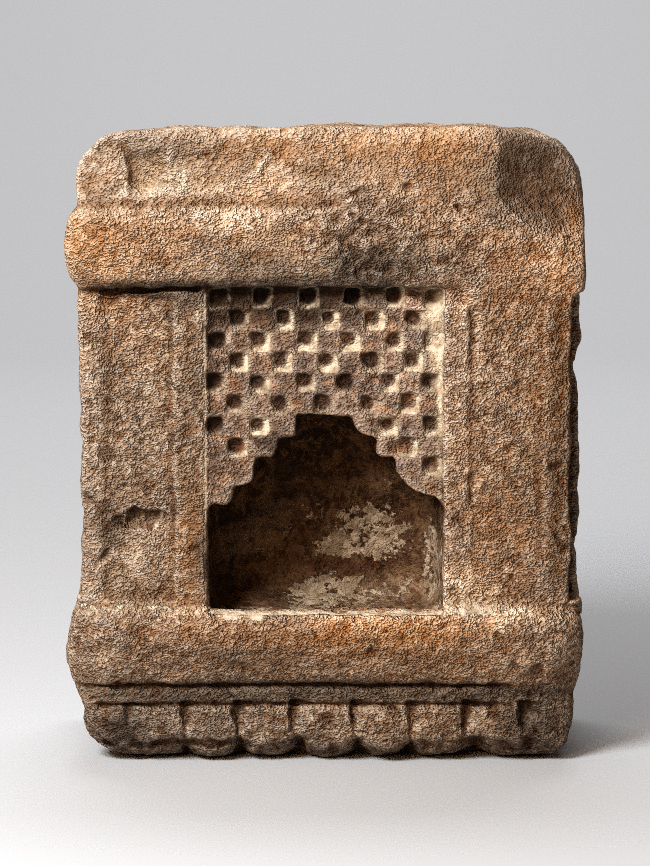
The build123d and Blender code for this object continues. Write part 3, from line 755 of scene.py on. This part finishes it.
# iron-rich orange patches, grey crust, and pale scraped places with painted highlights on the cornice ledge, the top of
# the torus, the chip's lower lip and the foot of the right jamb
orange = np.clip(
    blot(112, 240, 44, 34, -8) * 0.7 + blot(190, 232, 50, 30, -8) * 0.15 + blot(290, 245, 60, 30, -8) * 0.3 + blot(392, 632, 84, 24, -10) * 1.1 + blot(250, 640, 90, 22, -10) * 0.5
    + blot(500, 520, 40, 80, 0) * 0.4 + blot(560, 360, 22, 110, 0) * 0.8 + blot(190, 540, 16, 70, 0) * 0.85 + blot(110, 300, 40, 30, 0) * 0.35
    + blot(440, 690, 120, 60, -3) * 0.35 + blot(520, 300, 60, 30, -4) * 0.5 + blot(460, 140, 50, 16, -4) * 0.7 + blot(250, 150, 80, 18, -4) * 0.5
    + blot(560, 560, 18, 60, 0) * 0.4 + blot(70, 250, 16, 50, -4) * 0.6 + blot(300, 140, 160, 16, -4) * 0.35 + blot(500, 250, 60, 18, -6) * 0.6 + blot(425, 162, 66, 34, -4) * 0.5 + blot(340, 150, 50, 18, -4) * 0.35 + blot(576, 214, 10, 30, 2) * 0.9 + blot(110, 258, 36, 26, -8) * 0.4,
    0, 1,
) * front + band_in
grey = np.clip(
    np.clip(sample(ERODED, verts), 0, 1) * 0.45 + blot(360, 205, 34, 22, -8) * 0.3 + blot(150, 470, 44, 60, 0) * 0.6 + blot(110, 420, 34, 70, 0) * 0.4
    + blot(215, 720, 130, 32, -3) * 0.6 + blot(470, 700, 110, 16, -3) * 0.55 + blot(500, 590, 50, 18, 0) * 0.5 + blot(460, 330, 20, 60, 0) * 0.5
    + blot(150, 150, 60, 26, -4) * 0.5 + blot(120, 740, 40, 20, -3) * 0.8 + blot(540, 720, 40, 50, -3) * 0.55 + blot(460, 262, 40, 24, -8) * 0.6,
    0, 1,
) * front
pale_and_painted_highlight = np.clip(
    blot(158, 185, 27, 9, 2, angle=0.1, power=3) * 1.0 + blot(163, 170, 24, 18, 2, power=3) * 0.85 + blot(112, 176, 9, 12, -3) * 0.4 + blot(262, 163, 4, 17, -4, angle=-0.55) * 0.8 + blot(200, 186, 20, 6, -4) * 0.5
    + blot(215, 210, 130, 4.2, -7, power=3) * 0.55 + blot(290, 262, 60, 22, -8) * 0.35 + blot(150, 555, 30, 30, 0) * 0.6 + blot(118, 570, 26, 26, 0) * 0.5
    + blot(105, 600, 40, 12, -2) * 0.5 + blot(140, 440, 60, 80, 0) * 0.25 + blot(520, 330, 60, 60, 0) * 0.18 + blot(267, 701, 2.2, 9, -3, angle=-0.3) * 1.0
    + blot(187, 733, 3, 8, -3) * 0.9 + blot(242, 733, 3, 8, -3) * 0.9 + blot(268, 734, 20, 5, -3) * 0.8 + blot(298, 728, 4, 8, -3) * 0.8 + blot(137, 726, 6, 10, -3) * 0.7
    + ramp(px_z, 366, 384) * 0.10 + blot(325, 609, 250, 4, -2, power=6) * 0.6 + blot(200, 165, 130, 40, -4) * 0.2 + blot(380, 255, 60, 16, -8) * 0.3
    + blot(240, 221, 34, 11, -8) * 0.4 + blot(468, 588, 28, 22, 0) * 0.7 + blot(505, 612, 46, 12, -3) * 0.5 + blot(356, 730, 4, 9, -3) * 0.7 + blot(417, 728, 5, 10, -3) * 0.7 + blot(471, 722, 3, 12, -3) * 0.7 + blot(325, 612, 250, 4, -2, power=4) * 0.35,
    0, 1,
) * front

# brightness changes multiplied into the colour: painted shade on the top of the crown, towards the foot, under the
# cornice and on the torus's lower half; painted highlight along the top of the torus; darker along the shaft's right
# edge; stains and paler worn places
bevel = np.clip(sample(BEVEL, verts), 0, 1) * front
bevel = bevel * (1 - 0.6 * blot(576, 212, 10, 30, 2))
# the crown's top, the lower courses and most of all the foot darker: painted shade; the eroded place and a patch at the
# upper right darker, a patch on the cornice's right lighter
shade = -0.13 * ramp(px_z, 345, 385) * (1 - bevel) - 0.06 * np.clip(sample(ERODED, verts), 0, 1) * front - 0.14 * blot(556, 165, 20, 32, 2) * front + 0.2 * blot(530, 270, 60, 40, -4) * front - 0.16 * (1 - ramp(px_z, 46, 74)) - 0.30 * (1 - ramp(px_z, 4, 24))
shade = shade - 0.50 * ramp(px_x, 138, 150) * ramp(px_z, 112, 130) * (1 - ramp(px_z, 296, 320)) * front
# painted shade below the torus and under the cornice's rounded lower edge, painted highlight along the top of the
# torus, and a darker inner band on the left pilaster
shade = shade - 0.06 * (1 - ramp(px_z, 84, 104)) - 0.5 * ramp(px_z, 312, 316) * (1 - ramp(px_z, 319, 331)) * (1 - ramp(px_x, 60, 100)) * front + 0.30 * blot(325, 610, 260, 7, -3, power=6) * front - 0.16 * ramp(px_x, -103, -99) * (1 - ramp(px_x, -80, -78)) * front * (px_z > 112) * (px_z < 312)
smooth = np.maximum(np.maximum(0.80 * bevel, 0.40 * ramp(px_z, 368, 384)), 0.52 * screen)
bite = (0.24 * ramp(px_x, 40, 110) * ramp(px_z, 108, 120) + 0.22 * (1 - ramp(px_z, 100, 112)) + 0.25 * np.clip(sample(ERODED, verts), 0, 1) + 0.14 * ramp(-px_x, 84, 100) * ramp(px_z, 108, 120)) * (1 - ramp(px_z, 330, 375)) * front
shade = shade + 0.45 * bite
# darker patches: some dirt and stains, and painted shade under the cornice and on the top of the screen below it, on
# the torus's lower half and the band beneath it, at the turned-under ends of the base and beside the bevelled face
dirt_and_painted_shade = (
    0.36 * blot(165, 148, 70, 16, -4) + 0.62 * blot(500, 188, 24, 34, 0) + 0.70 * blot(530, 150, 34, 24, 4) + 0.40 * blot(535, 222, 34, 18, 0)
    + 1.30 * blot(366, 264, 46, 18, -6) + 0.36 * blot(306, 384, 62, 34, 6) + 0.5 * blot(170, 301, 40, 12, 0) + 0.6 * blot(288, 300, 84, 10, 6, power=3) + 0.65 * blot(270, 264, 34, 12, -8) + 0.95 * blot(300, 283, 80, 7, -3, power=3) + 1.25 * blot(160, 290, 64, 9, -3, power=3) + 0.14 * blot(230, 260, 170, 15, -8, power=4) + 0.3 * blot(420, 262, 24, 16, -6) + 0.70 * blot(106, 528, 26, 34, 0) + 1.15 * blot(272, 441, 20, 14, 6) + 0.3 * blot(350, 366, 20, 18, 6) + 0.3 * blot(282, 226, 16, 12, -8) + 0.4 * blot(136, 512, 18, 12, 0)
    + 0.60 * blot(222, 656, 28, 14, -8) + 0.66 * blot(280, 656, 30, 14, -8) + 0.2 * blot(200, 652, 20, 14, -8) + 0.52 * blot(362, 656, 40, 14, -8) + 0.4 * blot(424, 656, 34, 12, -8) + 0.35 * blot(134, 650, 26, 14, -8) + 1.00 * blot(325, 692, 260, 11, -6, power=5) + 0.35 * blot(150, 692, 34, 10, -6) + 0.60 * blot(170, 508, 14, 18, 0) + 0.25 * blot(136, 586, 20, 14, 0) + 0.9 * blot(200, 548, 11, 32, 0)
    + 1.05 * blot(124, 726, 28, 24, -3) + 0.95 * blot(530, 724, 34, 26, -3) + 0.2 * blot(560, 440, 14, 130, 0, power=4) + 0.16 * blot(190, 400, 14, 120, 0, power=4)
)
# lighter patches: paler worn stone and lime, and painted light on the top of the torus and at the foot of the right
# jamb
wear_and_painted_light = (
    0.85 * blot(232, 222, 36, 12, -8) + 0.35 * blot(170, 222, 40, 14, -8) + 0.3 * blot(318, 256, 18, 14, -8) + 0.3 * blot(252, 190, 60, 16, -4) + 0.8 * blot(168, 256, 22, 14, -8) + 0.22 * blot(130, 472, 24, 22, 0) + 0.5 * blot(262, 186, 34, 14, -4) + 0.42 * blot(418, 222, 72, 16, -6) + 0.35 * blot(398, 372, 40, 60, 6) + 1.6 * blot(452, 296, 22, 14, 0) + 1.4 * blot(418, 297, 20, 14, 6) + 1.1 * blot(350, 617, 34, 13, -4) + 0.35 * blot(208, 618, 26, 12, -4) + 0.36 * blot(132, 345, 24, 46, 0) + 0.72 * blot(530, 260, 30, 22, -6)
    + 0.34 * blot(455, 385, 14, 110, 0, power=4) + 0.26 * blot(492, 400, 24, 100, 0, power=4) + 1.35 * blot(462, 588, 40, 24, 0, power=3) + 0.3 * blot(456, 455, 14, 36, 0) + 0.62 * blot(430, 618, 110, 12, -4, power=3) + 0.5 * blot(500, 612, 46, 16, -3)
)
shade = shade + (wear_and_painted_light - dirt_and_painted_shade) * front

for name, values in (
    ("shade", shade), ("smooth", smooth), ("film", film), ("hole", hole), ("bite", bite), ("lift", lift), ("bevel", bevel), ("cav_fine", cav_fine), ("cav_wide", cav_wide), ("wash", wash), ("soot_and_painted_shade", soot_and_painted_shade), ("orange", orange), ("grey", grey), ("pale_and_painted_highlight", pale_and_painted_highlight), ("inner", inner), ("screen", screen), ("painted_shade_foot", ramp(-px_z, -26, -6)),
):
    attr = mesh.attributes.new(name, "FLOAT", "POINT")
    attr.data.foreach_set("value", np.clip(values, -1, 1).astype(np.float32))

mesh.vertices.foreach_set("co", (verts / 1000.0).astype(np.float32).ravel())
mesh.update()
mesh.polygons.foreach_set("use_smooth", np.ones(len(mesh.polygons), bool))
mesh.update()


# ------------------------------------------------------------------ sandstone
def build_stone():
    mat = bpy.data.materials.new("weathered_sandstone")
    mat.use_nodes = True
    nt = mat.node_tree
    nodes, links = nt.nodes, nt.links
    nodes.clear()

    def node(kind, **props):
        n = nodes.new(kind)
        for k, v in props.items():
            setattr(n, k, v)
        return n

    def feed(sock, value):
        if hasattr(value, "links"):
            links.new(value, sock)
        else:
            sock.default_value = value

    coord = node("ShaderNodeTexCoord").outputs["Object"]

    def attr(name):
        return node("ShaderNodeAttribute", attribute_name=name, attribute_type="GEOMETRY").outputs["Fac"]

    def noise(scale, detail=3.0, rough=0.55, vector=coord, kind="FBM", distort=0.0):
        n = node("ShaderNodeTexNoise", noise_dimensions="3D")
        n.noise_type = kind
        feed(n.inputs["Vector"], vector)
        n.inputs["Scale"].default_value = scale
        n.inputs["Detail"].default_value = detail
        n.inputs["Roughness"].default_value = rough
        n.inputs["Distortion"].default_value = distort
        return n.outputs["Fac"]

    def math_(op, a, b=0.0, clamp=False):
        n = node("ShaderNodeMath", operation=op, use_clamp=clamp)
        feed(n.inputs[0], a)
        feed(n.inputs[1], b)
        return n.outputs[0]

    def remap(value, a, b, lo=0.0, hi=1.0):
        n = node("ShaderNodeMapRange", interpolation_type="SMOOTHSTEP")
        feed(n.inputs["Value"], value)
        n.inputs["From Min"].default_value = a
        n.inputs["From Max"].default_value = b
        n.inputs["To Min"].default_value = lo
        n.inputs["To Max"].default_value = hi
        return n.outputs["Result"]

    def mix(fac, a, b, blend="MIX"):
        n = node("ShaderNodeMix", data_type="RGBA", blend_type=blend, clamp_factor=True)
        feed(n.inputs[0], fac)
        for s, v in ((n.inputs[6], a), (n.inputs[7], b)):
            if isinstance(v, tuple):
                s.default_value = (*v, 1.0)
            else:
                links.new(v, s)
        return n.outputs[2]

    def turned(scale, angle):
        n = node("ShaderNodeMapping", vector_type="POINT")
        links.new(coord, n.inputs["Vector"])
        n.inputs["Rotation"].default_value = (0.0, angle, 0.0)
        n.inputs["Scale"].default_value = scale
        return n.outputs["Vector"]

    # grain: sand a millimetre across, in ripples that climb to the right
    lay = turned((0.8, 1.0, 1.1), 0.45)
    sand = noise(1120.0, 0.0, 0.5, vector=lay)
    grit = noise(670.0, 0.0, 0.5)
    clump = noise(385.0, 0.0, 0.5, vector=lay)
    mottle = noise(34.0, 3.0, 0.55)
    broad = noise(11.0, 3.0, 0.5)

    # stone colour: brown, with rusty, grey and cream patches that run into each other
    warm = mix(remap(mottle, 0.3, 0.7), (0.303, 0.207, 0.140), (0.378, 0.266, 0.186))
    warm = mix(remap(broad, 0.35, 0.68, 0.0, 0.45), warm, (0.292, 0.213, 0.151))
    warm = mix(remap(noise(84.0, 2.0, 0.55), 0.47, 0.70, 0.0, 0.27), warm, (0.412, 0.234, 0.122))
    warm = mix(remap(noise(72.0, 2.0, 0.55, vector=lay), 0.48, 0.70, 0.0, 0.40), warm, (0.262, 0.212, 0.172))
    warm = mix(remap(noise(98.0, 2.0, 0.55, vector=lay), 0.52, 0.74, 0.0, 0.32), warm, (0.520, 0.420, 0.305))
    iron = math_("MULTIPLY", attr("orange"), remap(mottle, 0.25, 0.65, 0.45, 0.85))
    warm = mix(iron, warm, (0.440, 0.236, 0.108))
    crust = math_("MULTIPLY", attr("grey"), remap(mottle, 0.2, 0.6, 0.4, 0.9))
    warm = mix(crust, warm, (0.225, 0.170, 0.130))
    # the bevelled face: a browner crust, and painted shade where it turns away from the light and lower down where it
    # turns up to it
    bevel_crust_and_painted_shade = mix(remap(noise(24.0, 2.0, 0.5), 0.42, 0.6), (0.150, 0.098, 0.062), (0.172, 0.108, 0.072))
    warm = mix(math_("MULTIPLY", attr("bevel"), remap(mottle, 0.2, 0.7, 0.95, 0.75)), warm, bevel_crust_and_painted_shade)
    warm = mix(math_("MULTIPLY", attr("screen"), remap(mottle, 0.25, 0.65, 0.95, 0.7)), warm, (0.172, 0.114, 0.082))
    warm = mix(math_("MULTIPLY", attr("screen"), remap(noise(64.0, 3.0, 0.6), 0.50, 0.62, 0.0, 0.55)), warm, (0.130, 0.100, 0.085))
    warm = mix(math_("MULTIPLY", attr("screen"), remap(noise(78.0, 3.0, 0.6, vector=lay), 0.54, 0.66, 0.0, 0.55)), warm, (0.370, 0.200, 0.105))
    # cream: pale scraped stone, with painted highlights on edges that face the light
    scraped_and_painted_highlight = math_("MULTIPLY", attr("pale_and_painted_highlight"), remap(clump, 0.3, 0.62, 0.4, 0.85))
    warm = mix(scraped_and_painted_highlight, warm, (0.570, 0.460, 0.345))
    # painted shade: darker brown at the foot of the block
    warm = mix(math_("MULTIPLY", attr("painted_shade_foot"), remap(mottle, 0.25, 0.65, 0.75, 0.3)), warm, (0.155, 0.108, 0.078))

    # pits between the grains are darker and redder, and so are wider hollows: painted shade standing in for their
    # self-shadowing, with a redder tone
    pit_shade = math_("ADD", remap(sand, 0.24, 0.54, 0.31, 0.0), remap(grit, 0.24, 0.54, 0.31, 0.0))
    pit_shade = math_("ADD", pit_shade, remap(clump, 0.24, 0.54, 0.25, 0.0))
    pit_shade = math_("MULTIPLY", pit_shade, math_("SUBTRACT", math_("ADD", 1.0, math_("MULTIPLY", attr("bite"), 0.6)), math_("MULTIPLY", attr("smooth"), 0.5)))
    power = math_("ADD", math_("ADD", pit_shade, 0.765), math_("ADD", remap(attr("cav_fine"), -0.8, 0.8, -0.10, 0.26), remap(attr("cav_wide"), -0.9, 0.9, -0.10, 0.26)))
    deep = node("ShaderNodeGamma")
    links.new(warm, deep.inputs["Color"])
    links.new(power, deep.inputs["Gamma"])
    n = node("ShaderNodeVectorMath", operation="SCALE")
    links.new(deep.outputs[0], n.inputs[0])
    links.new(math_("ADD", 1.0, math_("MULTIPLY", attr("shade"), 0.6)), n.inputs["Scale"])
    colour = n.outputs[0]

    # walls of the niche, lamp soot with painted shade, then what is left of the lime wash
    wall = mix(remap(noise(95.0, 5.0, 0.66), 0.46, 0.54), (0.040, 0.018, 0.008), (0.100, 0.052, 0.027))
    wall = mix(remap(noise(62.0, 5.0, 0.72), 0.50, 0.53, 0.0, 0.70), wall, (0.160, 0.096, 0.050))
    wall = mix(math_("MULTIPLY", attr("orange"), remap(noise(140.0, 4.0, 0.65), 0.30, 0.55, 0.45, 0.95)), wall, (0.084, 0.035, 0.018))
    wall = mix(remap(noise(170.0, 5.0, 0.68), 0.52, 0.55, 0.0, 0.80), wall, (0.034, 0.016, 0.008))
    vein = remap(math_("ABSOLUTE", math_("SUBTRACT", noise(105.0, 4.0, 0.6), 0.5)), 0.0, 0.026, 0.75, 0.0)
    wall = mix(vein, wall, (0.170, 0.104, 0.050))
    # lighter ochre flakes where lift is set: ochre, and painted light
    wall = mix(math_("MULTIPLY", attr("lift"), remap(noise(120.0, 5.0, 0.68), 0.46, 0.53, 0.22, 0.95)), wall, (0.300, 0.195, 0.120))
    colour = mix(attr("inner"), colour, wall)
    soot_and_shade_mask = math_("MULTIPLY", attr("soot_and_painted_shade"), remap(noise(70.0, 4.0, 0.6), 0.28, 0.60, 0.66, 0.98))
    colour = mix(soot_and_shade_mask, colour, mix(attr("inner"), (0.030, 0.017, 0.010), mix(remap(noise(88.0, 5.0, 0.68), 0.48, 0.56), (0.040, 0.018, 0.007), (0.150, 0.076, 0.029))))
    # painted shade: the holes of the sunk squares coloured dark
    colour = mix(math_("MULTIPLY", attr("hole"), 0.96), colour, (0.030, 0.018, 0.011))
    flake = math_("ADD", noise(210.0, 5.0, 0.70), math_("MULTIPLY", noise(70.0, 4.0, 0.64), 0.8))
    left = math_("ADD", attr("wash"), math_("MULTIPLY", math_("SUBTRACT", flake, 0.90), 2.8))
    lime = math_("MULTIPLY", remap(left, 0.46, 0.56), remap(attr("wash"), 0.03, 0.12))
    lime_c = mix(remap(noise(120.0, 4.0, 0.6), 0.38, 0.62), (0.380, 0.305, 0.220), (0.600, 0.520, 0.415))
    lime_in = mix(remap(noise(130.0, 5.0, 0.66), 0.40, 0.60), (0.235, 0.168, 0.108), (0.480, 0.378, 0.272))
    colour = mix(math_("MULTIPLY", lime, 0.92), colour, mix(math_("MULTIPLY", attr("inner"), 0.85), lime_c, lime_in))
    film = remap(math_("ADD", attr("film"), math_("MULTIPLY", math_("SUBTRACT", flake, 0.90), 0.5)), 0.16, 0.80)
    film = math_("MULTIPLY", film, remap(attr("film"), 0.02, 0.14))
    film_c = mix(remap(noise(160.0, 3.0, 0.6), 0.36, 0.64), (0.360, 0.278, 0.190), (0.640, 0.540, 0.410))
    colour = mix(math_("MULTIPLY", film, 0.88), colour, film_c)
    lime = math_("MAXIMUM", lime, film)

    # relief of the grain, in millimetres
    relief = math_("ADD", math_("MULTIPLY", sand, 3.0), math_("MULTIPLY", grit, 3.3))
    relief = math_("ADD", relief, math_("MULTIPLY", clump, 2.8))
    relief = math_("MULTIPLY", relief, math_("SUBTRACT", 1.0, math_("MULTIPLY", math_("MAXIMUM", math_("MAXIMUM", lime, attr("inner")), attr("smooth")), 0.74)))
    relief = math_("MULTIPLY", relief, math_("ADD", 1.0, attr("bite")))
    relief = math_("MULTIPLY", relief, remap(noise(66.0, 3.0, 0.6), 0.36, 0.64, 0.60, 1.26))
    skin = math_("ADD", math_("MULTIPLY", flake, 4.5), math_("MULTIPLY", lime, 0.7))
    relief = math_("ADD", relief, math_("MULTIPLY", attr("inner"), skin))
    bump = node("ShaderNodeBump")
    bump.inputs["Strength"].default_value = 1.0
    bump.inputs["Distance"].default_value = 0.001
    links.new(relief, bump.inputs["Height"])

    bsdf = node("ShaderNodeBsdfPrincipled")
    links.new(colour, bsdf.inputs["Base Color"])
    bsdf.inputs["Roughness"].default_value = 0.95
    bsdf.inputs["Specular IOR Level"].default_value = 0.15
    links.new(bump.outputs["Normal"], bsdf.inputs["Normal"])
    out = node("ShaderNodeOutputMaterial")
    links.new(bsdf.outputs["BSDF"], out.inputs["Surface"])
    return mat


mesh.materials.clear()
mesh.materials.append(build_stone())
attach(stone, "root")
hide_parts("shrine_block")


# ------------------------------------------------------------------ floor, light and camera
def build_floor():
    """A floor that sweeps up far behind the object, so that no horizon shows."""
    bend = [(2.4 + 2.2 * math.sin(t), 2.2 - 2.2 * math.cos(t)) for t in np.linspace(0, math.pi / 2, 25)]
    side = [(-30.0, 0.0)] + bend + [(4.6, 5.0)]
    verts = [(x, y, z) for y, z in side for x in (-30.0, 30.0)]
    mesh = bpy.data.meshes.new("floor")
    mesh.from_pydata([tuple(float(c) for c in v) for v in verts], [], [(2 * k, 2 * k + 1, 2 * k + 3, 2 * k + 2) for k in range(len(side) - 1)])
    mesh.polygons.foreach_set("use_smooth", np.ones(len(mesh.polygons), bool))
    obj = bpy.data.objects.new("floor", mesh)
    bpy.context.scene.collection.objects.link(obj)
    mat = bpy.data.materials.new("floor_pale")
    mat.use_nodes = True
    bsdf = mat.node_tree.nodes["Principled BSDF"]
    bsdf.inputs["Base Color"].default_value = (0.44, 0.455, 0.475, 1)
    bsdf.inputs["Roughness"].default_value = 0.85
    mesh.materials.append(mat)


def area(name, loc, target, size, power, colour):
    data = bpy.data.lights.new(name, "AREA")
    data.shape = "DISK"
    data.size = size
    data.energy = power
    data.color = colour
    obj = bpy.data.objects.new(name, data)
    obj.location = loc
    obj.rotation_euler = (Vector(target) - Vector(loc)).to_track_quat("-Z", "Y").to_euler()
    bpy.context.scene.collection.objects.link(obj)


build_floor()
area("key", (-0.70, -0.92, 1.14), (0.0, -0.05, 0.26), 0.60, 34.5, (0.985, 0.99, 0.985))
area("front", (-1.0, -2.2, 1.2), (0.0, -0.05, 0.2), 1.0, 17.0, (1.0, 0.60, 0.30))
area("over", (0.0, 1.5, 3.4), (0.0, 3.6, 0.6), 2.4, 125.0, (0.98, 0.99, 1.0))

world = bpy.context.scene.world or bpy.data.worlds.new("studio")
bpy.context.scene.world = world
world.use_nodes = True
background = world.node_tree.nodes.get("Background") or world.node_tree.nodes.new("ShaderNodeBackground")
background.inputs["Color"].default_value = (1.0, 0.66, 0.42, 1)
background.inputs["Strength"].default_value = 0.13

cam_data = bpy.data.cameras.new("camera")
cam_data.sensor_width = 36.0
cam_data.lens = FOCAL_PX * 36.0 / FRAME_H
cam = bpy.data.objects.new("camera", cam_data)
cam.location = (0.0, (SHAFT_Y - DIST) / 1000.0, EYE / 1000.0)
cam.rotation_euler = (math.pi / 2 - TILT, 0.0, 0.0)
bpy.context.scene.collection.objects.link(cam)
bpy.context.scene.camera = cam
bpy.context.scene.view_settings.view_transform = "Standard"
bpy.context.scene.view_settings.look = "Medium High Contrast"
bpy.context.scene.cycles.use_denoising = False  # it would wipe out the grain of the stone
bpy.context.scene.cycles.filter_width = 0.9

bpy.context.view_layer.update()
